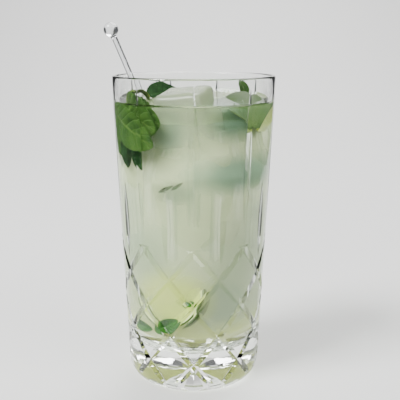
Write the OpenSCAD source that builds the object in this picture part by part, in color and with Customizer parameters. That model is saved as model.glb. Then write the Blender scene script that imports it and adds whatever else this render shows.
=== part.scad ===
// Mojito in a cut highball glass, with a clear stirrer, mint, ice and lime.
// The origin is the centre of the foot, on the table. +Z is up and -Y is the front.

/* [Glass] */
// Height of the glass
glass_h = 151; // [120:1:185]
// Outer diameter at the rim
rim_d = 78.6; // [66:0.2:95]
// Outer diameter of the straight body line, carried down to the table
body_foot_d = 66.7; // [56:0.1:80]
// Diameter of the flat ring that the glass stands on, to its outer edge
stand_d = 59.6; // [52:0.1:70]
// Height of the rounded corner at the foot
foot_round_h = 8; // [5:0.5:10]
// Wall thickness at the rim
rim_wall = 1.9; // [1.5:0.1:2.3]
// Wall thickness at the foot, where the straight inner wall line would meet the table
foot_wall = 3.8; // [3:0.1:4.5]
// Thickness of solid glass under the drink
base_t = 18.5; // [14:0.5:24]
// Radius of the round corner inside the bottom
cavity_round = 10; // [6:0.5:12]

/* [Cuts] */
// Number of times that the cut pattern repeats round the glass
repeats = 9; // [6:1:12]
// Height from one row of crossings to the next
row_h = 14.4; // [11:0.1:17]
// Number of rows of diamonds
rows = 4; // [3:1:5]
// Height of the lowest row of crossings
first_row_z = 15; // [13:0.5:18]
// Depth of a diagonal groove
groove_depth = 0.9; // [0.5:0.1:1.2]
// Width of a diagonal groove, measured round the glass
groove_w = 4.6; // [3:0.1:6]
// Depth of an upright cut at its middle
flute_depth = 1.1; // [0.6:0.1:1.3]
// Width of an upright cut at its middle
flute_w = 4.8; // [3:0.1:6]
// Length of a long upright cut
long_flute = 66; // [50:1:70]
// Length of a short upright cut
short_flute = 37; // [28:1:42]
// Gap between the top row of crossings and a long upright cut
flute_gap = 7.5; // [4:0.5:10]
// Number of rays in the star cut under the foot
rays = 18; // [12:1:24]
// Depth of the star at its centre
star_depth = 3; // [2:0.1:4]
// Width of the flat ring round the star
stand_w = 3; // [2:0.1:5]

/* [Drink] */
// Distance from the rim down to the drink
headroom = 12.3; // [8:0.1:20]

/* [Stirrer] */
// Diameter of the rod
rod_d = 2.8; // [2:0.1:4]
// Diameter of the ball on top
ball_d = 7.4; // [6:0.1:10]
// Distance from the rim, along the rod, up to the middle of the ball
rod_past = 25; // [20:0.5:45]
// Direction that it leans in, counted from +X towards +Y
rod_turn = 154.4; // [145:0.1:165]

/* [Ice] */
// Side of the cube that stands out of the drink
ice_side = 24; // [18:0.5:26]
// Radius of its melted edges
ice_round = 3.5; // [2:0.5:5]
// How far its middle lies below the surface
ice_sunk = 7.5; // [3:0.1:9]
// Gap between the cube and the lime, seen from above
ice_gap = 4.5; // [2:0.1:6]

/* [Lime] */
// Diameter of the lime that the chunk is cut from
lime_d = 35; // [30:0.5:42]
// Length of that lime from stem to tip
lime_l = 50; // [42:0.5:54]
// Angle between the two cut faces of the chunk
lime_angle = 82; // [60:1:90]

/* [Mint] */
// Thickness of a leaf
leaf_t = 0.6; // [0.4:0.05:0.8]
// How far the fold along the midrib lifts the edges of a leaf
leaf_fold = 1.2; // [0.4:0.1:1.6]

/* [Fits] */
// Clearance between the rod or a leaf and the glass
clearance = 0.3; // [0.2:0.05:0.5]

/* [Hidden] */
$fn = 96;
// A small overrun that lets one solid pass cleanly through another's skin
over = 0.5;
period = 360 / repeats;
level = glass_h - headroom;
rim_round = rim_wall / 2;

// Radius of the straight outer wall at a height
function outer_r(z) = (body_foot_d + (rim_d - body_foot_d) * z / glass_h) / 2;
// Thickness of the wall at a height
function wall(z) = foot_wall + (rim_wall - foot_wall) * z / glass_h;
// Radius of the straight inner wall at a height
function inner_r(z) = outer_r(z) - wall(z);
// A point at a radius and a height, with the angle counted from the front towards +X
function around(r, angle, z) = [r * sin(angle), -r * cos(angle), z];
// Points of an arc about a centre
function arc(centre, r, from, to, steps) =
    [for (i = [0:steps]) centre + r * [cos(from + (to - from) * i / steps), sin(from + (to - from) * i / steps)]];

// ---- Glass ----

// Centre of the round corner inside the bottom
cavity_z = base_t + cavity_round;
cavity_centre = [inner_r(cavity_z) - cavity_round, cavity_z];

// Half of the space inside the glass, up to a height
module cavity_outline(top) {
    polygon(concat([[0, base_t]], arc(cavity_centre, cavity_round, -90, 0, 12), [[inner_r(top), top], [0, top]]));
}

// Half of the glass as a blank, before it is cut
module blank_outline() {
    lip = [outer_r(glass_h) - rim_round, glass_h - rim_round];
    knee = [outer_r(foot_round_h), foot_round_h];
    belly = [knee.x - (knee.x - stand_d / 2) * 0.3, foot_round_h * 0.3];
    difference() {
        polygon(concat([[0, 0], [stand_d / 2, 0], belly, knee], arc(lip, rim_round, 0, 90, 8),
            [[0, glass_h]]));
        cavity_outline(glass_h - rim_round);
        polygon([[0, glass_h - rim_round], [inner_r(glass_h), glass_h - rim_round],
            for (p = arc(lip, rim_round, 180, 90, 8)) p, [outer_r(glass_h), glass_h + over], [0, glass_h + over]]);
    }
}

// Radius of a cutting wheel that leaves a cut of a length and a depth in a straight wall
function wheel_r(length, depth) = (length * length / 4 + depth * depth) / (2 * depth);

// One upright cut, left by a wheel with a V edge. It is cut from the wall that faces +X.
module flute(length, middle_z) {
    r = wheel_r(length, flute_depth);
    rim = 3;
    lean = atan((rim_d - body_foot_d) / 2 / glass_h);
    translate([outer_r(middle_z), 0, middle_z]) rotate([0, lean, 0]) translate([r - flute_depth, 0, 0])
        rotate([90, 0, 0]) rotate_extrude($fn = 180)
            polygon([[r, 0], [r - rim, rim * flute_w / 2 / flute_depth], [r - rim, -rim * flute_w / 2 / flute_depth]]);
}

// One diagonal groove, which winds up round the glass. side is 1 or -1 for its hand. The two hands run past
// their top crossing by slightly different lengths, so that their flat ends never lie in one plane.
module groove(side) {
    past = groove_w / 4 - (side + 1) * 0.15;
    bottom = first_row_z - row_h * 0.7;
    top = first_row_z + rows * row_h + past;
    turn = (top - bottom) / row_h * period / 2;
    start = (bottom - first_row_z) / row_h * period / 2;
    r = outer_r(bottom);
    translate([0, 0, bottom]) rotate(side * start)
        linear_extrude(height = top - bottom, twist = -side * turn, slices = 10, scale = outer_r(top) / r, $fn = 8)
            polygon([[r - groove_depth, 0], [r + groove_depth, -groove_w], [r + groove_depth, groove_w]]);
}

// The star under the foot: a shallow folded cone, whose rays are its high lines
module star() {
    r = stand_d / 2 - stand_w;
    rim = [for (i = [0:2 * rays - 1])
        [r * cos(180 * i / rays), r * sin(180 * i / rays), i % 2 == 0 ? star_depth * 0.7 : star_depth * 0.15]];
    below = [for (p = rim) [p.x, p.y, -over]];
    n = len(rim);
    polyhedron(concat(rim, below, [[0, 0, star_depth], [0, 0, -over]]), concat(
        [for (i = [0:n - 1]) [2 * n, (i + 1) % n, i]],
        [for (i = [0:n - 1]) [i, (i + 1) % n, n + (i + 1) % n]],
        [for (i = [0:n - 1]) [i, n + (i + 1) % n, n + i]],
        [for (i = [0:n - 1]) [2 * n + 1, n + i, n + (i + 1) % n]]));
}

module glass() {
    crossings_top = first_row_z + rows * row_h;
    long_z = crossings_top + flute_gap + long_flute / 2;
    short_z = crossings_top - row_h / 2 + short_flute / 2;
    color("aliceblue", 0.35) difference() {
        rotate_extrude() blank_outline();
        for (i = [0:repeats - 1]) rotate(i * period - 90) flute(long_flute, long_z);
        for (i = [0:repeats - 1]) rotate((i + 0.5) * period - 90) flute(short_flute, short_z);
        for (side = [-1, 1], i = [0:repeats - 1]) rotate(i * period - 90) groove(side);
        star();
    }
}

// ---- Stirrer ----

// Middle of the rod's lower end, resting in the round corner inside the bottom
rod_foot = cavity_centre + (cavity_round - rod_d / 2 - clearance) * [cos(-50), sin(-50)];
// Middle of the rod where it leans on the rim
rod_rim = [-(inner_r(glass_h) - rod_d / 2 - 2 * clearance), glass_h - rim_round];
rod_lean = atan((rod_foot.x - rod_rim.x) / (rod_rim.y - rod_foot.y));
rod_l = norm(rod_rim - [rod_foot.x, rod_foot.y]) + rod_past;

module stirrer() {
    color("white", 0.5) rotate(rod_turn) translate([-rod_foot.x, 0, rod_foot.y]) rotate([0, rod_lean, 0]) {
        cylinder(d = rod_d, h = rod_l, $fn = 32);
        sphere(d = rod_d, $fn = 32);
        translate([0, 0, rod_l]) sphere(d = ball_d, $fn = 48);
    }
}

// ---- Ice and lime ----

// Where the lime's stem end lies, how its long axis turns from upright, and how far its middle is rolled to the left
lime_tip = around(inner_r(level - 12.5) - 3.5, 57, level - 12.5);
lime_turn = [-97, 0, 6];
lime_roll = 9;

// The cube's front side stays in its place, and its right side keeps its gap to the lime
ice_front = 20.5;
ice_at = [lime_tip.x - lime_d * 0.41 - ice_gap - ice_side / 2, ice_side / 2 - ice_front, level - ice_sunk];
ice_tilt = [5, -6, -19];

module ice_cube() {
    corner = ice_side / 2 - ice_round;
    color("azure", 0.6) translate(ice_at) rotate(ice_tilt) hull()
        for (x = [-corner, corner], y = [-corner, corner], z = [-corner, corner])
            translate([x, y, z]) sphere(r = ice_round, $fn = 16);
}

module lime_chunk() {
    r = lime_d / 2;
    half = lime_l / 2;
    tip_r = 1.5;
    color("yellowgreen") translate(lime_tip) rotate(lime_turn) rotate(270 - lime_roll - lime_angle / 2)
        rotate_extrude(angle = lime_angle)
            polygon(concat([[0, 0], [tip_r, 0]],
                [for (i = [1:12]) [tip_r + (r - tip_r) * sin(i * 7.5), half * (1 - cos(i * 7.5))]], [[0, half]]));
}

// ---- Mint ----

leaf_rows = 10;
leaf_columns = 4;

// Half of a leaf's width at a share of its length, for a leaf whose full width is w
function leaf_half(u, w) = max(0.5, w / 2 * pow(sin(180 * pow(u, 0.85)), 0.8));
// Height of a leaf's surface above its midrib, at a share across from -1 to 1
function leaf_relief(u, v) = leaf_fold * abs(v) * sin(180 * u);

// Faces of a closed sheet whose upper grid of points is followed by its lower grid
function sheet_faces(rows, columns) = let (w = columns + 1, n = (rows + 1) * w) concat(
    [for (i = [0:rows - 1], j = [0:columns - 1]) each let (a = i * w + j) [[a, a + w, a + 1], [a + 1, a + w, a + w + 1]]],
    [for (i = [0:rows - 1], j = [0:columns - 1]) each let (a = n + i * w + j)
        [[a, a + 1, a + w], [a + 1, a + w + 1, a + w]]],
    [for (i = [0:rows - 1], j = [0, columns]) each let (a = i * w + j, b = a + w, flip = j == 0)
        flip ? [[a, n + a, b], [b, n + a, n + b]] : [[a, b, n + a], [b, n + b, n + a]]],
    [for (j = [0:columns - 1], i = [0, rows]) each let (a = i * w + j, b = a + 1, flip = i == 0)
        flip ? [[a, b, n + a], [b, n + b, n + a]] : [[a, n + a, b], [b, n + a, n + b]]]);

// A leaf pressed against the inside of the glass. from and to are its ends, each an angle and a height.
// lift is how far it stands off the wall, beyond the clearance.
module wall_leaf(from, to, w, lift) {
    r = inner_r((from.y + to.y) / 2);
    along = [(to.x - from.x) * PI / 180 * r, to.y - from.y];
    across = [-along.y, along.x] / norm(along);
    polyhedron([for (side = [0, 1], i = [0:leaf_rows], j = [0:leaf_columns])
        let (u = i / leaf_rows, v = 2 * j / leaf_columns - 1, p = along * u + across * v * leaf_half(u, w),
            z = from.y + p.y, depth = clearance + lift + leaf_fold - leaf_relief(u, v) + side * leaf_t)
        around(inner_r(z) - depth, from.x + p.x / r * 180 / PI, z)], sheet_faces(leaf_rows, leaf_columns));
}

// A free leaf that starts at the origin and runs along +Y, bent downwards to a radius
module free_leaf(l, w, bend) {
    polyhedron([for (side = [0, 1], i = [0:leaf_rows], j = [0:leaf_columns])
        let (u = i / leaf_rows, v = 2 * j / leaf_columns - 1, a = l * u / bend * 180 / PI,
            r = bend + leaf_relief(u, v) - side * leaf_t)
        [v * leaf_half(u, w), r * sin(a), r * cos(a) - bend]], sheet_faces(leaf_rows, leaf_columns));
}

module leaf_low() {
    color("olivedrab") wall_leaf([-80, level - 4], [-31, level - 18], 19, 0);
}

module leaf_high() {
    color("forestgreen") wall_leaf([-74, level + 0.5], [-30, level - 11], 20, leaf_fold + leaf_t + 0.5);
}

module leaf_arch() {
    color("yellowgreen") translate(around(inner_r(level) - 4.4, -80.2, level - 1)) rotate([0, -8, -72])
        rotate([78, 0, 0]) free_leaf(15.5, 11, 5);
}

module leaf_back() {
    beside_ice = [ice_at.x - ice_side / 2 - 5, ice_at.y + ice_side / 2 - 0.5, level];
    color("darkseagreen") translate(beside_ice) rotate([16, 0, -33]) free_leaf(27, 14, 150);
}

module leaf_right() {
    behind_lime = [lime_tip.x - 1, lime_tip.y + lime_l / 2 + 3.1, level - 1];
    color("seagreen") translate(behind_lime) rotate([68, 0, 25]) free_leaf(9, 6, 14);
}

module floating() {
    stirrer();
    ice_cube();
    lime_chunk();
    leaf_low();
    leaf_high();
    leaf_arch();
    leaf_back();
    leaf_right();
}

// ---- Drink ----

module drink() {
    color("honeydew", 0.8) difference() {
        rotate_extrude() cavity_outline(level);
        floating();
    }
}

glass();
drink();
stirrer();
ice_cube();
lime_chunk();
leaf_low();
leaf_high();
leaf_arch();
leaf_back();
leaf_right();
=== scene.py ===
"""A mojito in a cut highball glass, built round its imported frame.

Shapes are worked out in millimetres, in the frame's own axes: +Z is up and -Y is the front.
"""

import math
import random

import bmesh
import bpy
from mathutils import Matrix, Vector, noise


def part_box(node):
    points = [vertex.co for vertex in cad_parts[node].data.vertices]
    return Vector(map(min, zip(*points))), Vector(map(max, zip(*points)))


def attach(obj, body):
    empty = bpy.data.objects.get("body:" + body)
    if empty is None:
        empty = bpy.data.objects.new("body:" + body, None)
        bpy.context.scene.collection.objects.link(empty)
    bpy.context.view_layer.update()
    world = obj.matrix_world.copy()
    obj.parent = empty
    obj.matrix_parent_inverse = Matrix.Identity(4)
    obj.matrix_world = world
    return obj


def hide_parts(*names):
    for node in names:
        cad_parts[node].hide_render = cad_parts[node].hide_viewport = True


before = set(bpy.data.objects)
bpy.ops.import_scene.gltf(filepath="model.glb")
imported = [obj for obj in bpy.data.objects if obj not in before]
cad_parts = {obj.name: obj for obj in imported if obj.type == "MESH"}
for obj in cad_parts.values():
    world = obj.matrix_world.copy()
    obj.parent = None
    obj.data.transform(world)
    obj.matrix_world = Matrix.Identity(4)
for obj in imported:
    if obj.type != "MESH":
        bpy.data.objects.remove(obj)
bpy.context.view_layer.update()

# ---- Sizes in millimetres, and angles in degrees ----

MM = 0.001
GLASS_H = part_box("glass")[1].z / MM
RIM_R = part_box("glass")[1].x / MM
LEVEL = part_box("drink")[1].z / MM
BASE_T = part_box("drink")[0].z / MM
FOOT_LINE_R = 33.35
STAND_R = 29.8
FOOT_ROUND_H = 8
RIM_WALL = 1.9
FOOT_WALL = 3.8
CAVITY_ROUND = 10
REPEATS = 9
PERIOD = 360 / REPEATS
ROW_H = 14.4
ROWS = 4
FIRST_ROW_Z = 15
GROOVE_DEPTH = 1.25
GROOVE_W = 4.6
FLUTE_DEPTH = 1.3
FLUTE_W = 4.8
LONG_FLUTE = 66
SHORT_FLUTE = 37
FLUTE_GAP = 7.5
RAYS = 18
STAR_DEPTH = 3
STAR_R = STAND_R - 3
CLEARANCE = 0.3
CLIMB = 0.7
LEAF_FOLD = 1.2
LEAF_T = 0.3
LIME_TIP_DROP = 12.5
LIME_TIP_GAP = 3.5
LIME_TIP_ANGLE = 57
SHOULDER_DROP = 34


# ---- Where the walls and the murk lie ----


def outer_radius(z):
    """Radius of the straight outer wall at a height."""
    return FOOT_LINE_R + (RIM_R - FOOT_LINE_R) * z / GLASS_H


def inner_radius(z):
    """Radius of the straight inner wall at a height."""
    return outer_radius(z) - FOOT_WALL - (RIM_WALL - FOOT_WALL) * z / GLASS_H


def around(radius, degrees, z):
    """A point at a radius and a height, with the angle counted from the front towards +X."""
    a = math.radians(degrees)
    return Vector((radius * math.sin(a), -radius * math.cos(a), z))


def arc(centre, radius, start, end, steps):
    """Points of an arc in the plane of radius and height, between two angles in degrees."""
    turns = [math.radians(start + (end - start) * i / steps) for i in range(steps + 1)]
    return [(centre[0] + radius * math.cos(a), centre[1] + radius * math.sin(a)) for a in turns]


def cavity_outline(inset, top):
    """The space inside the glass, drawn in from the wall by an inset, from its middle up to a height."""
    corner_z = BASE_T + CAVITY_ROUND
    corner = (inner_radius(corner_z) - CAVITY_ROUND, corner_z)
    bottom = arc(corner, CAVITY_ROUND - inset, -90, 0, 14)
    return [(0, BASE_T + inset)] + bottom + [(inner_radius(top) - inset, top)]


def murk_outline(inset, top_inset, top):
    """A murky body inside the drink, whose upper part draws in further from the wall."""
    shoulder = LEVEL - SHOULDER_DROP
    outline = cavity_outline(inset, shoulder)
    for t in (i / 10 for i in range(1, 11)):
        z = shoulder + (top - shoulder) * t
        drawn_in = (top_inset - inset) * math.sin(t * math.pi / 2)
        outline.append((inner_radius(z) - inset - drawn_in, z))
    return outline + [(0, top)]


# ---- Helpers for shapes ----


def spun(outline, steps=192, angle=360):
    """A closed shape from an outline of (radius, height) points that is turned about Z."""
    bm = bmesh.new()
    verts = [bm.verts.new((r, 0, z)) for r, z in outline]
    edges = [bm.edges.new(pair) for pair in zip(verts, verts[1:])]
    whole = angle == 360
    start = verts + edges
    if not whole:
        start.append(bm.faces.new(verts))
    bmesh.ops.spin(bm, geom=start, cent=(0, 0, 0), axis=(0, 0, 1), angle=math.radians(angle), steps=steps,
                   use_merge=whole)
    bmesh.ops.remove_doubles(bm, verts=bm.verts, dist=1e-4)
    bmesh.ops.recalc_face_normals(bm, faces=bm.faces)
    return bm


def shade(bm, sharp_degrees=None):
    """Smooth faces, with the edges sharper than an angle kept crisp."""
    for face in bm.faces:
        face.smooth = True
    if sharp_degrees is None:
        return bm
    limit = math.radians(sharp_degrees)
    for edge in bm.edges:
        edge.smooth = len(edge.link_faces) != 2 or edge.calc_face_angle(0) < limit
    return bm


def loose_object(name, bm):
    """A mesh object in metres from a shape in millimetres."""
    bmesh.ops.scale(bm, vec=(MM, MM, MM), verts=bm.verts)
    mesh = bpy.data.meshes.new(name)
    bm.to_mesh(mesh)
    bm.free()
    thing = bpy.data.objects.new(name, mesh)
    bpy.context.scene.collection.objects.link(thing)
    return thing


def piece(name, bm, material, replaces=()):
    """A finished piece of the drink, which rides with the one body."""
    thing = loose_object(name, bm)
    thing.data.materials.append(material)
    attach(thing, "root")
    if replaces:
        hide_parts(*replaces)
    return thing


def cut_away(body, tool):
    """Cuts a tool's shape out of a body for good."""
    cut = body.modifiers.new("cut", "BOOLEAN")
    cut.operation = "DIFFERENCE"
    cut.solver = "EXACT"
    cut.object = tool
    evaluated = body.evaluated_get(bpy.context.evaluated_depsgraph_get())
    mesh = bpy.data.meshes.new_from_object(evaluated)
    body.modifiers.remove(cut)
    old = body.data
    body.data = mesh
    bpy.data.meshes.remove(old)
    bpy.data.objects.remove(tool)


# ---- Helpers for materials ----


class Wire:
    """One output of a node, so that shader maths reads as plain sums."""

    def __init__(self, finish, socket):
        self.finish = finish
        self.socket = socket

    def sum_of(self, operation, first, second):
        return self.finish.node("ShaderNodeMath", {"operation": operation}, {0: first, 1: second})

    def __add__(self, other):
        return self.sum_of("ADD", self, other)

    __radd__ = __add__

    def __mul__(self, other):
        return self.sum_of("MULTIPLY", self, other)

    __rmul__ = __mul__

    def __sub__(self, other):
        return self.sum_of("SUBTRACT", self, other)

    def __rsub__(self, other):
        return self.sum_of("SUBTRACT", other, self)

    def __truediv__(self, other):
        return self.sum_of("DIVIDE", self, other)

    def __rtruediv__(self, other):
        return self.sum_of("DIVIDE", other, self)

    def __abs__(self):
        return self.finish.node("ShaderNodeMath", {"operation": "ABSOLUTE"}, {0: self})


class Finish:
    """A new material, and the nodes that it is made of."""

    def __init__(self, name):
        self.material = bpy.data.materials.new(name)
        self.material.use_nodes = True
        self.tree = self.material.node_tree
        self.tree.nodes.clear()

    def node(self, kind, settings=None, inputs=None, output=0):
        """A node of a type, with its settings, its inputs' values or links, and the output that is used."""
        made = self.tree.nodes.new(kind)
        for key, value in (settings or {}).items():
            if key == "stops":
                self.set_stops(made.color_ramp, value)
            else:
                setattr(made, key, value)
        for key, value in (inputs or {}).items():
            if isinstance(value, Wire):
                self.tree.links.new(value.socket, made.inputs[key])
            else:
                made.inputs[key].default_value = value
        return Wire(self, made.outputs[output])

    @staticmethod
    def set_stops(ramp, stops):
        """Gives a ramp its stops, each a place and a grey or a colour."""
        while len(ramp.elements) < len(stops):
            ramp.elements.new(0.5)
        for element, (at, value) in zip(ramp.elements, stops):
            element.position = at
            element.color = (value, value, value, 1) if isinstance(value, (int, float)) else (*value, 1)

    def ramp(self, factor, *stops):
        return self.node("ShaderNodeValToRGB", {"stops": stops}, {"Fac": factor})

    def mix(self, factor, first, second):
        """One colour turned into another by a factor."""
        inputs = {0: factor, 6: colour(first), 7: colour(second)}
        return self.node("ShaderNodeMix", {"data_type": "RGBA"}, inputs, output=2)

    def place(self, centre=(0, 0, 0), size=(1, 1, 1)):
        """Object coordinates about a centre in millimetres, squeezed by sizes in millimetres."""
        coords = self.node("ShaderNodeTexCoord", output=3)
        scale = tuple(1 / (s * MM) for s in size)
        shift = Matrix.Diagonal(scale) @ Vector(c * MM for c in centre)
        return self.node("ShaderNodeMapping", None, {"Vector": coords, "Location": -shift, "Scale": scale})

    def noise(self, vector, scale=1.0, detail=2.0, roughness=0.5):
        inputs = {"Vector": vector, "Scale": scale, "Detail": detail, "Roughness": roughness}
        return self.node("ShaderNodeTexNoise", None, inputs)

    def maximum(self, first, second):
        return self.node("ShaderNodeMath", {"operation": "MAXIMUM"}, {0: first, 1: second})

    def pingpong(self, value):
        """Turns a rising value into even waves between nought and a half."""
        return self.node("ShaderNodeMath", {"operation": "PINGPONG"}, {0: value, 1: 0.5})

    def bump(self, height, distance):
        """Raised detail, as deep as a distance in millimetres."""
        inputs = {"Height": height, "Distance": distance * MM, "Strength": 1.0}
        return self.node("ShaderNodeBump", None, inputs)

    def principled(self, **inputs):
        """The main shader. Names are its sockets' names with underscores for spaces."""
        values = {key.replace("_", " "): colour(value) for key, value in inputs.items()}
        return self.node("ShaderNodeBsdfPrincipled", None, values)

    def lamps_through(self, shader, tint):
        """Lets the light of lamps pass a clear shader, so that what lies behind it is lit."""
        path = self.node("ShaderNodeLightPath", output=1)
        through = self.node("ShaderNodeBsdfTransparent", None, {"Color": colour(tint)})
        return self.node("ShaderNodeMixShader", None, {0: path, 1: shader, 2: through})

    def done(self, shader):
        end = self.tree.nodes.new("ShaderNodeOutputMaterial")
        self.tree.links.new(shader.socket, end.inputs["Surface"])
        return self.material


def colour(value):
    """Gives a colour its alpha, and leaves anything else alone."""
    return (*value, 1) if isinstance(value, tuple) and len(value) == 3 else value


# ---- Materials ----

GLASS_IOR = 1.52
DRINK_IOR = 1.34


def crystal(name, ior):
    """Clear glass. Where the drink wets it, light bends as between glass and drink."""
    f = Finish(name)
    clear = f.principled(Base_Color=(0.985, 0.995, 0.985), Roughness=0.0, IOR=ior, Transmission_Weight=1.0)
    return f.done(f.lamps_through(clear, (0.97, 0.98, 0.97)))


def clear_plastic():
    f = Finish("clear_plastic")
    wear = f.noise(f.place(size=(9, 9, 9)), 1.0, 3.0)
    rough = 0.04 + wear * 0.08
    clear = f.principled(Base_Color=(0.93, 0.94, 0.95), Roughness=rough, IOR=1.49, Transmission_Weight=1.0)
    return f.done(f.lamps_through(clear, (0.9, 0.9, 0.92)))


def clear_liquid(name, ior):
    """The clear drink. Its side leaves the light alone, since the wet glass has bent it already."""
    f = Finish(name)
    clear = f.principled(Base_Color=(0.93, 0.97, 0.9), Roughness=0.0, IOR=ior, Transmission_Weight=1.0)
    return f.done(f.lamps_through(clear, (0.95, 0.97, 0.93)))


# The colours of the cloudy drink; the teal also serves as its painted shade, and the streak is painted light
# from the upright cuts
CELADON = (0.57, 0.625, 0.395)
DRIFT_AND_SHADE_TEAL = (0.16, 0.27, 0.19)
YELLOW = (0.64, 0.72, 0.12)
BASE_YELLOW = (0.8, 0.86, 0.22)
LIGHT_STREAK = (0.8, 0.82, 0.66)

# Painted shadows on the drink, from the front: x, z, width, height and strength
SHADOWS = (
    (26, 107, 70, 22, 0.85),
    (-11, 128, 19, 28, 0.75),
    (14, 44, 30, 36, 0.5),
    (-27, 88, 12, 34, 0.3),
    (-8, 99, 22, 12, 0.4),
    (18, 132, 36, 24, 1.0),
    (22, 62, 34, 60, 0.3),
    (-24, 68, 36, 40, 0.4),
)
# A painted yellow glow on the drink where the sunk lime lies, from the front: x, z, width, height and
# strength
LIME_GLOW = (-8, 46, 40, 36, 0.7)


def spot(f, x, z, width, height, strength):
    """A soft patch of painted shade or painted glow on the murk, as seen from the front."""
    near = f.place(centre=(x, -30, z), size=(width / 2, 60, height / 2))
    far = f.node("ShaderNodeVectorMath", {"operation": "LENGTH"}, {0: near}, output=1)
    return f.ramp(far, (0.45, strength), (1.0, 0))


def murk(f):
    """The colour of the cloudy drink: pale, with painted shade between the ice, painted light and shade from
    the upright cuts, and a painted yellow glow where the lime lies.
    """
    drift = f.noise(f.place(size=(24, 24, 15)), 1.0, 2.0, 0.45)
    # Darker at random, and darker still under the painted shadows
    dark = f.ramp(drift, (0.5, 0), (0.72, 0.35))
    for shadow in SHADOWS:
        dark = f.maximum(dark, spot(f, *shadow))
    height = f.node("ShaderNodeSeparateXYZ", None, {0: f.place(centre=(0, 0, 20), size=(16, 16, 16))}, 2)
    low = f.ramp(height, (0.0, 1.0), (1.0, 0))
    light, shade_line = flute_light(f)
    # Painted streaks of light and shade where the upright cuts turn the light
    pale = f.mix(shade_line * 0.35, f.mix(light * 0.6, CELADON, LIGHT_STREAK), DRIFT_AND_SHADE_TEAL)
    # The painted shadows turn the murk teal, and a painted glow turns it yellow where the lime lies
    upper = f.mix(spot(f, *LIME_GLOW), f.mix(dark, pale, DRIFT_AND_SHADE_TEAL), YELLOW)
    return f.mix(low, upper, BASE_YELLOW)


def flute_light(f):
    """Light and dark streaks on the murk, where the upright cuts gather the light and turn it aside."""
    coords = f.node("ShaderNodeTexCoord", output=3)
    split = f.node("ShaderNodeSeparateXYZ", None, {0: coords}, 0)
    y, z = (Wire(f, split.socket.node.outputs[i]) for i in (1, 2))
    angle = f.node("ShaderNodeMath", {"operation": "ARCTAN2"}, {0: split, 1: y * -1})
    turns = angle * (REPEATS / 2 / math.pi)
    light = dark = None
    for offset, low, high in ((0, 82, 144), (0.5, 66, 101)):
        off_cut = f.pingpong(turns + (2 + offset))
        middle = (low + high) / 2
        reach = f.ramp(abs(z / MM - middle) / ((high - low) / 2), (0.75, 1), (1.0, 0))
        streak = f.ramp(off_cut, (0.03, 1), (0.07, 0)) * reach
        flank = f.ramp(off_cut, (0.04, 0), (0.09, 1), (0.16, 0)) * reach
        light = streak if light is None else light + streak
        dark = flank if dark is None else dark + flank
    return light, dark


def haze(name, alpha):
    """A thin veil of the murk's colour, which lets most of what is behind it through."""
    f = Finish(name)
    return f.done(f.principled(Base_Color=murk(f), Roughness=1.0, Specular_IOR_Level=0.0, Alpha=alpha))


def cloud():
    f = Finish("cloud")
    return f.done(f.principled(Base_Color=murk(f), Roughness=1.0, Specular_IOR_Level=0.0))


def ice():
    f = Finish("ice")
    frost = f.noise(f.place(size=(7, 7, 7)), 1.0, 4.0, 0.6)
    rough = 0.06 + frost * 0.2
    clear = f.principled(Base_Color=(0.42, 0.47, 0.34), Roughness=rough, IOR=1.31, Transmission_Weight=0.5,
                         Normal=f.bump(frost, 0.25))
    return f.done(f.lamps_through(clear, (0.6, 0.64, 0.57)))


def sunk_ice():
    f = Finish("sunk_ice")
    frost = f.noise(f.place(size=(12, 12, 12)), 1.0, 3.0, 0.5)
    tint = f.mix(frost, (0.64, 0.68, 0.46), (0.57, 0.61, 0.38))
    return f.done(f.principled(Base_Color=tint, Roughness=0.6, Specular_IOR_Level=0.1))


def mint(name, light, dark, vein, shine):
    """A mint leaf, whose veins follow its own map: u runs across it and v along it."""
    f = Finish(name)
    uv = f.node("ShaderNodeUVMap", {"uv_map": "leaf"})
    split = f.node("ShaderNodeSeparateXYZ", None, {0: uv}, 0)
    along = Wire(f, split.socket.node.outputs[1])
    off_middle = abs(split - 0.5) * 2
    midrib = f.ramp(off_middle, (0.03, 1), (0.09, 0))
    ribs = f.pingpong(along * 7 - off_middle * 1.6)
    side_veins = f.ramp(ribs, (0.02, 1), (0.1, 0))
    mottle = f.noise(f.place(size=(5, 5, 5)), 1.0, 4.0, 0.6)
    green = f.mix(f.ramp(mottle, (0.35, 0), (0.65, 1)), dark, light)
    veined = f.mix(side_veins * 0.08, green, vein)
    height = mottle * 0.3 - side_veins * 0.6
    return f.done(f.principled(Base_Color=f.mix(midrib * 0.6, veined, vein), Roughness=0.6,
                               Specular_IOR_Level=shine, Normal=f.bump(height, 0.25)))


def lime_rind(name="lime_rind", dark=(0.02, 0.055, 0.014), light=(0.085, 0.13, 0.036)):
    f = Finish(name)
    oil_cells = f.node("ShaderNodeTexVoronoi", None, {"Vector": f.place(size=(1, 1, 1)), "Scale": 1.1})
    mottle = f.noise(f.place(size=(8, 8, 8)), 1.0, 3.0)
    green = f.mix(mottle, dark, light)
    return f.done(f.principled(Base_Color=green, Roughness=0.5, Specular_IOR_Level=0.1,
                               Normal=f.bump(oil_cells, 0.2)))


def lime_pith():
    f = Finish("lime_pith")
    fibre = f.noise(f.place(size=(2, 2, 2)), 1.0, 4.0)
    return f.done(f.principled(Base_Color=f.mix(fibre, (0.55, 0.62, 0.25), (0.66, 0.7, 0.38)), Roughness=0.6))


def lime_flesh():
    f = Finish("lime_flesh")
    juice = f.node("ShaderNodeTexVoronoi", None, {"Vector": f.place(size=(1.6, 1.6, 4.5)), "Scale": 1.0})
    cells = f.ramp(juice, (0.1, 0), (0.6, 1))
    pulp = f.mix(cells, (0.38, 0.5, 0.05), (0.54, 0.63, 0.12))
    return f.done(f.principled(Base_Color=pulp, Roughness=0.3, Normal=f.bump(cells, 0.35)))


def bubble_film():
    f = Finish("bubble_film")
    clear = f.principled(Base_Color=(0.97, 1.0, 0.95), Roughness=0.0, IOR=1.2, Transmission_Weight=1.0)
    return f.done(f.lamps_through(clear, (0.95, 0.97, 0.94)))


# ---- Glass ----


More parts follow.
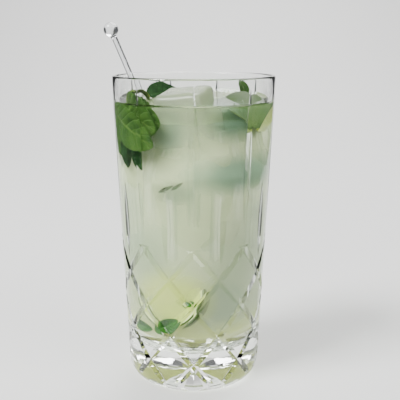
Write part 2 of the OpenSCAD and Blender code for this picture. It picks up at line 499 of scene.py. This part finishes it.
def glass_blank():
    """The glass before it is cut. Its inner wall has a line where the drink's edge lies."""
    lip_r = RIM_WALL / 2
    lip = (outer_radius(GLASS_H) - lip_r, GLASS_H - lip_r)
    knee = Vector((outer_radius(FOOT_ROUND_H), FOOT_ROUND_H))
    toe = Vector((STAND_R, 0))
    corner = Vector((outer_radius(0) - 0.4, 0.9))
    steps = [i / 12 for i in range(13)]
    foot = [tuple(toe * (1 - t) ** 2 + corner * 2 * t * (1 - t) + knee * t * t) for t in steps]
    top = GLASS_H - lip_r - 1
    inside = cavity_outline(0, LEVEL + CLIMB) + [(inner_radius(top), top)]
    return spun([(0, 0)] + foot + arc(lip, lip_r, 0, 180, 18) + inside[::-1], 240)


def wedge_ring(length, depth, width):
    """The part of a wheel with a V edge that leaves a cut in a wall which faces +X, at the origin."""
    wheel_r = (length * length / 4 + depth * depth) / (2 * depth)
    rim = 3
    half = rim * width / 2 / depth
    centre = Vector((wheel_r - depth, 0, 0))
    reach = math.asin(length / 2 / wheel_r) * 1.2
    bm = bmesh.new()
    corners = [centre - Vector((wheel_r, 0, 0)), centre - Vector((wheel_r - rim, half, 0)),
               centre - Vector((wheel_r - rim, -half, 0))]
    face = bm.faces.new([bm.verts.new(c) for c in corners])
    bmesh.ops.rotate(bm, verts=bm.verts, cent=centre, matrix=Matrix.Rotation(-reach, 3, "Y"))
    bmesh.ops.spin(bm, geom=[face], cent=centre, axis=(0, 1, 0), angle=2 * reach, steps=28)
    bmesh.ops.recalc_face_normals(bm, faces=bm.faces)
    return bm


def flutes(length, middle_z, first):
    """A ring of upright cuts, the first of them a share of a repeat round from the front."""
    lean = math.atan((RIM_R - FOOT_LINE_R) / GLASS_H)
    ring = bmesh.new()
    for i in range(REPEATS):
        one = wedge_ring(length, FLUTE_DEPTH, FLUTE_W)
        turn = Matrix.Rotation(math.radians((i + first) * PERIOD - 90), 4, "Z")
        reach = Matrix.Translation((outer_radius(middle_z), 0, middle_z))
        move = turn @ reach @ Matrix.Rotation(lean, 4, "Y")
        bmesh.ops.transform(one, matrix=move, verts=one.verts)
        add_to(ring, one)
    return loose_object("flutes", ring)


def add_to(whole, part):
    """Adds one shape to another."""
    mesh = bpy.data.meshes.new("part")
    part.to_mesh(mesh)
    part.free()
    whole.from_mesh(mesh)
    bpy.data.meshes.remove(mesh)


def grooves(side):
    """One family of diagonal grooves, which wind up round the glass. side is 1 or -1 for its hand."""
    bottom = FIRST_ROW_Z - ROW_H * 0.7
    top = FIRST_ROW_Z + ROWS * ROW_H + GROOVE_W / 4
    turn = math.radians((top - bottom) / ROW_H * PERIOD / 2)
    start = math.radians((bottom - FIRST_ROW_Z) / ROW_H * PERIOD / 2)
    steps = 60
    r = outer_radius(bottom)
    ring = bmesh.new()
    for i in range(REPEATS):
        bm = bmesh.new()
        corners = [(r - GROOVE_DEPTH, 0, bottom), (r + GROOVE_DEPTH, -GROOVE_W, bottom),
                   (r + GROOVE_DEPTH, GROOVE_W, bottom)]
        face = bm.faces.new([bm.verts.new(c) for c in corners])
        bmesh.ops.spin(bm, geom=[face], cent=(0, 0, 0), axis=(0, 0, 1), angle=side * turn, steps=steps,
                       dvec=(0, 0, (top - bottom) / steps))
        for vert in bm.verts:
            vert.co.xy *= outer_radius(vert.co.z) / r
        bmesh.ops.recalc_face_normals(bm, faces=bm.faces)
        first = math.radians(i * PERIOD - 90)
        swing = Matrix.Rotation(first + side * start, 3, "Z")
        bmesh.ops.rotate(bm, verts=bm.verts, cent=(0, 0, 0), matrix=swing)
        add_to(ring, bm)
    return loose_object("grooves", ring)


def star():
    """The star under the foot: a shallow folded cone, whose rays are its high lines."""
    bm = bmesh.new()
    bmesh.ops.create_circle(bm, cap_ends=False, segments=2 * RAYS, radius=STAR_R)
    rim = list(bm.verts)
    spokes = bmesh.ops.extrude_edge_only(bm, edges=list(bm.edges))["geom"]
    for vert in (v for v in spokes if isinstance(v, bmesh.types.BMVert)):
        vert.co = (0, 0, STAR_DEPTH)
    edge_loop = [e for e in bm.edges if e.verts[0] in rim and e.verts[1] in rim]
    skirt = bmesh.ops.extrude_edge_only(bm, edges=edge_loop)["geom"]
    skirt_verts = [v for v in skirt if isinstance(v, bmesh.types.BMVert)]
    for vert in skirt_verts:
        vert.co.z = -1
    for vert in rim:
        step = round(math.atan2(vert.co.y, vert.co.x) / math.pi * RAYS)
        vert.co.z = STAR_DEPTH * (0.7 if step % 2 == 0 else 0.15)
    bmesh.ops.contextual_create(bm, geom=[e for e in bm.edges if e.is_boundary])
    bmesh.ops.remove_doubles(bm, verts=bm.verts, dist=1e-4)
    bmesh.ops.recalc_face_normals(bm, faces=bm.faces)
    return loose_object("star", bm)


def cut_glass():
    """The glass with its cuts, whose inner wall is another finish where the drink wets it."""
    slack = 0.2
    body = loose_object("glass_body", glass_blank())
    crossings_top = FIRST_ROW_Z + ROWS * ROW_H
    cut_away(body, flutes(LONG_FLUTE, crossings_top + FLUTE_GAP + LONG_FLUTE / 2, 0))
    cut_away(body, flutes(SHORT_FLUTE, crossings_top - ROW_H / 2 + SHORT_FLUTE / 2, 0.5))
    cut_away(body, grooves(1))
    cut_away(body, grooves(-1))
    cut_away(body, star())
    bm = bmesh.new()
    bm.from_mesh(body.data)
    bmesh.ops.dissolve_degenerate(bm, edges=bm.edges, dist=1e-6)
    shade(bm, 15)
    for face in bm.faces:
        middle = face.calc_center_median() / MM
        inside = middle.xy.length < inner_radius(middle.z) + slack
        face.material_index = int(inside and BASE_T - slack / 2 < middle.z < LEVEL + CLIMB)
    bm.to_mesh(body.data)
    bm.free()
    body.data.materials.append(crystal("crystal", GLASS_IOR))
    body.data.materials.append(crystal("crystal_wet", GLASS_IOR / DRINK_IOR))
    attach(body, "root")
    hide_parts("glass")


# ---- Drink ----


def drink():
    """The clear outer liquid, two veils of haze inside it and the cloud that hides the middle."""
    into_wall = 0.12
    dip = 0.5
    meniscus = 3.2
    edge_r = inner_radius(LEVEL)
    skin = cavity_outline(-into_wall, LEVEL + CLIMB)
    surface = [(edge_r - meniscus * t, LEVEL - dip + (CLIMB + dip) * (1 - t) ** 3)
               for t in (0.1, 0.25, 0.45, 0.7, 1)]
    bm = shade(spun(skin + surface + [(0, LEVEL - dip)]), 50)
    for face in bm.faces:
        face.material_index = int(face.normal.z > 0.2)
    liquid = piece("drink_liquid", bm, clear_liquid("liquid_side", 1.0), ["drink"])
    liquid.data.materials.append(clear_liquid("liquid_surface", DRINK_IOR))
    for name, inset, top_inset, top, alpha in (("drink_veil_outer", 2.4, 10, LEVEL - 3, 0.2),
                                               ("drink_veil_inner", 4.8, 12, LEVEL - 9, 0.4)):
        veil = shade(spun(murk_outline(inset, top_inset, top), 96), 50)
        piece(name, veil, haze(name, alpha))
    murky = cloud()
    piece("drink_cloud", shade(spun(murk_outline(7.5, 20, LEVEL - 13), 96), 50), murky)
    piece("drink_cloud_back", back_cloud(), murky)


def back_cloud():
    """A round body of cloud behind the ice and the lime, which reaches nearly to the surface."""
    r = 16.5
    rounding = 4
    bottom = arc((r - rounding, LEVEL - 40), rounding, -90, 0, 6)
    top = arc((r - rounding, LEVEL - 1.5 - rounding), rounding, 0, 90, 8)
    bm = spun(bottom + top, 96)
    bmesh.ops.translate(bm, vec=(7, 17, 0), verts=bm.verts)
    return shade(bm, 50)


# ---- Ice ----


def ice_block(side, rounding, seed):
    """A melted cube about the origin."""
    bm = bmesh.new()
    bmesh.ops.create_cube(bm, size=side)
    bmesh.ops.bevel(bm, geom=list(bm.edges), offset=rounding, offset_type="OFFSET", segments=4, profile=0.5,
                    affect="EDGES", material=-1)
    bmesh.ops.subdivide_edges(bm, edges=[e for e in bm.edges if e.calc_length() > side / 3], cuts=7,
                              use_grid_fill=True)
    for vert in bm.verts:
        vert.co += noise.noise_vector(vert.co / side * 2.6 + Vector((seed, 0, 0))) * side * 0.022
    bmesh.ops.recalc_face_normals(bm, faces=bm.faces)
    return shade(bm)


def turned(bm, at, degrees=(0, 0, 0)):
    """Turns a shape about X, then Y, then Z, and moves it."""
    about_x, about_y, about_z = (Matrix.Rotation(math.radians(d), 4, axis) for d, axis in zip(degrees, "XYZ"))
    move = Matrix.Translation(at) @ about_z @ about_y @ about_x
    bmesh.ops.transform(bm, matrix=move, verts=bm.verts)
    return bm


# The cubes under the surface: side, place and turns
SUNK_ICE = (
    (25, (3, -6, 108), (4, 6, -6)),
    (26, (-8, -8.5, 96), (10, -8, 14)),
    (25, (10, -8, 84), (-8, 10, -20)),
    (25, (-4, 14, 118), (8, 4, 30)),
    (25, (10, 10, 92), (-12, 8, 10)),
    (24, (-5, 4, 66), (15, 20, 25)),
    (25, (6, -7, 60), (5, -12, 40)),
)


def ice_cubes():
    low, high = (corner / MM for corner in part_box("ice_cube"))
    floating = turned(ice_block(24, 3.5, 3), (low + high) / 2, (5, -6, -19))
    piece("ice_cube_top", floating, ice(), ["ice_cube"])
    frosted = sunk_ice()
    for number, (side, at, degrees) in enumerate(SUNK_ICE):
        piece(f"ice_sunk_{number}", turned(ice_block(side, 4.5, number), at, degrees), frosted)


# ---- Lime ----


def lime_outline(r, half, whole, skin=0.0):
    """Half of a lime's long section, from its stem up, drawn in by a thickness."""
    stem_r = 1.5
    turns = [math.radians(i * 7.5) for i in range(13)]
    lower = [(stem_r + (r - skin - stem_r) * math.sin(a), half - (half - skin) * math.cos(a)) for a in turns]
    if not whole:
        return lower
    return lower + [(x, 2 * half - z) for x, z in lower[-2::-1]]


def aimed(at, along, up):
    """The pose whose Z axis runs along one direction and whose X axis points most nearly another."""
    z = Vector(along).normalized()
    x = (Vector(up) - z * z.dot(up)).normalized()
    return Matrix.Translation(at) @ Matrix((x, z.cross(x), z)).transposed().to_4x4()


def lime_wedge(name, r, half, angle, whole, pose, replaces=()):
    """A piece of lime in three layers, with its stem at the pose's origin and a cut face along its X axis."""
    layers = (("rind", 0.0, 0.8, lime_rind), ("pith", 0.8, 1.7, lime_pith), ("flesh", 1.7, None, lime_flesh))
    for layer, outer, inner, finish in layers:
        outline = lime_outline(r, half, whole, outer)
        core = [(0, outline[-1][1]), (0, outline[0][1])]
        inside = lime_outline(r, half, whole, inner)[::-1] if inner else core
        recess = {"rind": 0.0, "pith": 0.2, "flesh": 0.5}[layer]
        bm = spun(outline + inside, 30, angle - 2 * recess)
        bmesh.ops.transform(bm, matrix=pose @ Matrix.Rotation(math.radians(recess), 4, "Z"), verts=bm.verts)
        material = bpy.data.materials.get(f"lime_{layer}") or finish()
        piece(f"{name}_{layer}", shade(bm, 40), material, replaces if layer == "rind" else ())


def lime_tip(depth):
    """The tip of the floating lime, or the spot straight above it, at a depth under the surface."""
    return around(inner_radius(LEVEL - LIME_TIP_DROP) - LIME_TIP_GAP, LIME_TIP_ANGLE, LEVEL - depth)


def limes():
    """A quarter lime that floats tip down, and a wedge with bits of peel that has sunk."""
    angle = 82
    roll = 9
    lean = Matrix.Rotation(math.radians(6), 4, "Z") @ Matrix.Rotation(math.radians(-97), 4, "X")
    start = Matrix.Rotation(math.radians(270 - roll - angle / 2), 4, "Z")
    chunk = Matrix.Translation(lime_tip(LIME_TIP_DROP)) @ lean @ start
    lime_wedge("lime_chunk", 17.5, 25, angle, False, chunk, ["lime_chunk"])
    sunk = aimed((-24.5, -12, 44.5), (0.846, -0.453, 0.282), (0.077, -0.42, -0.905))
    lime_wedge("lime_sunk", 19, 17, 60, True, sunk)
    peel = lime_rind("sunk_peel", (0.006, 0.06, 0.002), (0.03, 0.14, 0.006))
    piece("lime_peel_left", wall_leaf((-64, 30.5), (-40, 30), 6, 0, 11), peel)
    piece("lime_peel_right", wall_leaf((-37, 29.5), (-14, 37.5), 7.5, 0, 14), peel)
    piece("lime_peel_small", wall_leaf((-9, 45), (0, 47), 4, 0.4, 12), peel)


# ---- Mint ----


def leaf_sheet(length, width, place, seed):
    """A toothed leaf. place gives a point its spot from its distances across, along and up."""
    teeth = 12
    ribs = 7
    bm = bmesh.new()
    bmesh.ops.create_grid(bm, x_segments=24, y_segments=64, size=1.0)
    uv = bm.loops.layers.uv.new("leaf")
    for face in bm.faces:
        for loop in face.loops:
            loop[uv].uv = (loop.vert.co.x / 2 + 0.5, loop.vert.co.y / 2 + 0.5)
    for vert in bm.verts:
        v = vert.co.x
        u = vert.co.y / 2 + 0.5
        tooth = (u * teeth) % 1
        saw = 1 - 0.09 * (1 - tooth) * abs(v) ** 3
        half = max(0.4, width / 2 * max(0.0, math.sin(math.pi * u ** 0.9)) ** 0.62) * saw
        quilt = 0.28 * abs(math.sin(math.pi * (ribs * u - 1.6 * abs(v))))
        quilt *= min(1, 4 * abs(v)) * (1 - abs(v) ** 4)
        wave = 0.5 * noise.noise(Vector((v * 1.3, u * 3, seed)))
        lift = (LEAF_FOLD * abs(v) + quilt + wave) * math.sin(math.pi * u)
        vert.co = place(v * half, u * length, lift)
    bmesh.ops.recalc_face_normals(bm, faces=bm.faces)
    bmesh.ops.solidify(bm, geom=list(bm.faces), thickness=LEAF_T)
    return shade(bm, 60)


def wall_leaf(start, end, width, stand_off, seed):
    """A leaf pressed against the inside of the glass between two spots, each an angle and a height."""
    r = inner_radius((start[1] + end[1]) / 2)
    along = Vector((math.radians(end[0] - start[0]) * r, end[1] - start[1]))
    forward = along.normalized()
    across = Vector((-forward.y, forward.x))

    def place(x, y, lift):
        flat = forward * y + across * x
        z = start[1] + flat.y
        depth = CLEARANCE + stand_off + LEAF_FOLD + LEAF_T - lift
        return around(inner_radius(z) - depth, start[0] + math.degrees(flat.x / r), z)

    return leaf_sheet(along.length, width, place, seed)


def free_leaf(length, width, bend, at, degrees, seed):
    """A leaf that leaves a spot along +Y, bends down to a radius, and is then turned."""

    def place(x, y, lift):
        a = y / bend
        return Vector((x, (bend + lift) * math.sin(a), (bend + lift) * math.cos(a) - bend))

    return turned(leaf_sheet(length, width, place, seed), at, degrees)


def mint_leaves():
    fresh = mint("mint_fresh", (0.042, 0.095, 0.014), (0.018, 0.052, 0.008), (0.08, 0.145, 0.03), 0.1)
    pale = mint("mint_pale", (0.16, 0.23, 0.03), (0.05, 0.11, 0.01), (0.3, 0.38, 0.12), 0.1)
    dull = mint("mint_dull", (0.022, 0.06, 0.018), (0.008, 0.026, 0.008), (0.03, 0.07, 0.02), 0.0)
    arch = free_leaf(15.5, 11, 5, (0, 0, 0), (78, 0, 0), 3)
    arch_foot = around(inner_radius(LEVEL) - 4.4, -80.2, LEVEL - 1)
    back = free_leaf(28, 15, 150, (-22.5, 3.5, LEVEL + 0.5), (4, 25, -36), 4)
    right = free_leaf(9, 6, 14, lime_tip(1) + Vector((-1, 28.1, 0)), (68, 0, 25), 5)
    shown = (
        ("mint_low", wall_leaf((-80, LEVEL - 4), (-31, LEVEL - 18), 19, 0, 1), fresh, "leaf_low"),
        ("mint_high", wall_leaf((-74, LEVEL + 0.5), (-30, LEVEL - 11), 20, 2.3, 2), fresh, "leaf_high"),
        ("mint_arch", turned(arch, arch_foot, (0, -8, -72)), pale, "leaf_arch"),
        ("mint_back", back, dull, "leaf_back"),
        ("mint_right", right, fresh, "leaf_right"),
    )
    for name, bm, finish, node in shown:
        piece(name, bm, finish, [node])
    sunk = (
        ("mint_fill", wall_leaf((-72, LEVEL - 6), (-27, LEVEL - 8), 22, 3.6, 9), fresh),
        ("mint_side", wall_leaf((-84, LEVEL - 1), (-70, LEVEL - 25), 26, 2.1, 6), fresh),
        ("mint_bit", wall_leaf((-29, 99.5), (-17, 103), 1.9, 2.2, 13), dull),
        ("mint_bit_small", wall_leaf((-18, 101), (-9, 104.5), 1.7, 2.4, 15), dull),
        ("mint_tip_left", free_leaf(17, 8, 60, (-29, -14, LEVEL - 13), (-90, 0, 8), 7), dull),
        ("mint_tip_right", free_leaf(13, 6, 60, (-24.3, -21, LEVEL - 17), (-90, 0, 12), 8), dull),
    )
    for name, bm, finish in sunk:
        piece(name, bm, finish)


# ---- Stirrer and bubbles ----


def stirrer():
    """A clear rod with a ball on top, laid along the line from its foot to its ball."""
    rod_r = 1.4
    ball_r = 3.7
    low, high = (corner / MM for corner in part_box("stirrer"))
    foot = Vector((high.x - rod_r, low.y + rod_r, low.z + rod_r))
    ball = Vector((low.x + ball_r, high.y - ball_r, high.z - ball_r))
    length = (ball - foot).length
    neck = math.degrees(math.asin((rod_r + 0.35) / ball_r))
    rod_top = length - ball_r
    outline = arc((0, 0), rod_r, -90, 0, 8) + [(rod_r, rod_top - 1.2), (rod_r + 0.1, rod_top - 0.5)]
    outline += arc((0, length), ball_r, neck - 90, 90, 26)
    bm = shade(spun(outline, 40), 50)
    lean = (ball - foot).to_track_quat("Z", "Y").to_matrix().to_4x4()
    bmesh.ops.transform(bm, matrix=Matrix.Translation(foot) @ lean, verts=bm.verts)
    piece("stirrer_rod", bm, clear_plastic(), ["stirrer"])


def bubbles():
    """Small bubbles on the drink, most of them against the wall and round the ice."""
    draw = random.Random(5)
    foam = bmesh.new()
    for _ in range(70):
        size = draw.uniform(0.25, 0.8)
        if draw.random() < 0.6:
            off_wall = size + draw.uniform(0.1, 2.0)
            at = around(inner_radius(LEVEL) - off_wall, draw.uniform(0, 360), LEVEL - 0.3)
        else:
            at = around(draw.uniform(14, 30), draw.uniform(0, 360), LEVEL - 0.5)
        one = bmesh.new()
        bmesh.ops.create_icosphere(one, subdivisions=2, radius=size)
        bmesh.ops.translate(one, vec=at, verts=one.verts)
        add_to(foam, one)
    piece("bubbles", shade(foam), bubble_film())


# ---- Stage, light and camera ----


def stage():
    """A pale floor that curves up behind the glass."""
    half_width = 450
    bm = bmesh.new()
    bend = arc((700, 500), 500, -90, 0, 16)
    outline = [(-220, 0), (200, 0)] + bend + [(1200, 2500)]
    verts = [bm.verts.new((-half_width, y, z)) for y, z in outline]
    edges = [bm.edges.new(pair) for pair in zip(verts, verts[1:])]
    made = bmesh.ops.extrude_edge_only(bm, edges=edges)["geom"]
    far_side = [v for v in made if isinstance(v, bmesh.types.BMVert)]
    bmesh.ops.translate(bm, vec=(2 * half_width, 0, 0), verts=far_side)
    bmesh.ops.recalc_face_normals(bm, faces=bm.faces)
    floor = loose_object("floor", shade(bm))
    f = Finish("pale_floor")
    floor.data.materials.append(f.done(f.principled(Base_Color=(0.8, 0.8, 0.79), Roughness=0.9)))


def lamp(name, at, size, power):
    """A soft square light that faces the middle of the glass."""
    data = bpy.data.lights.new(name, "AREA")
    data.shape = "SQUARE"
    data.size = size
    data.energy = power
    thing = bpy.data.objects.new(name, data)
    thing.location = at
    thing.rotation_euler = (Vector((0, 0, 0.08)) - Vector(at)).to_track_quat("-Z", "Y").to_euler()
    bpy.context.scene.collection.objects.link(thing)


def lights():
    lamp("key", (-0.8, -0.45, 1.1), 0.45, 33)
    lamp("fill", (1.0, -0.6, 0.8), 0.8, 11)
    lamp("back", (0.2, 0.8, 1.1), 0.8, 20)
    world = bpy.data.worlds.new("soft_room")
    world.use_nodes = True
    sky = world.node_tree.nodes["Background"]
    sky.inputs["Color"].default_value = (0.95, 0.97, 1.0, 1)
    sky.inputs["Strength"].default_value = 0.12
    bpy.context.scene.world = world


def camera():
    """Looks at the front from a little above the rim."""
    data = bpy.data.cameras.new("camera")
    data.sensor_width = 36
    data.lens = 59.7
    data.shift_x = 0.0156
    data.clip_start = 0.01
    thing = bpy.data.objects.new("camera", data)
    thing.location = (0, -0.325, 0.1653)
    thing.rotation_euler = (math.radians(90 - 13.2), 0, 0)
    bpy.context.scene.collection.objects.link(thing)
    bpy.context.scene.camera = thing


cut_glass()
drink()
ice_cubes()
limes()
mint_leaves()
stirrer()
bubbles()
stage()
lights()
camera()
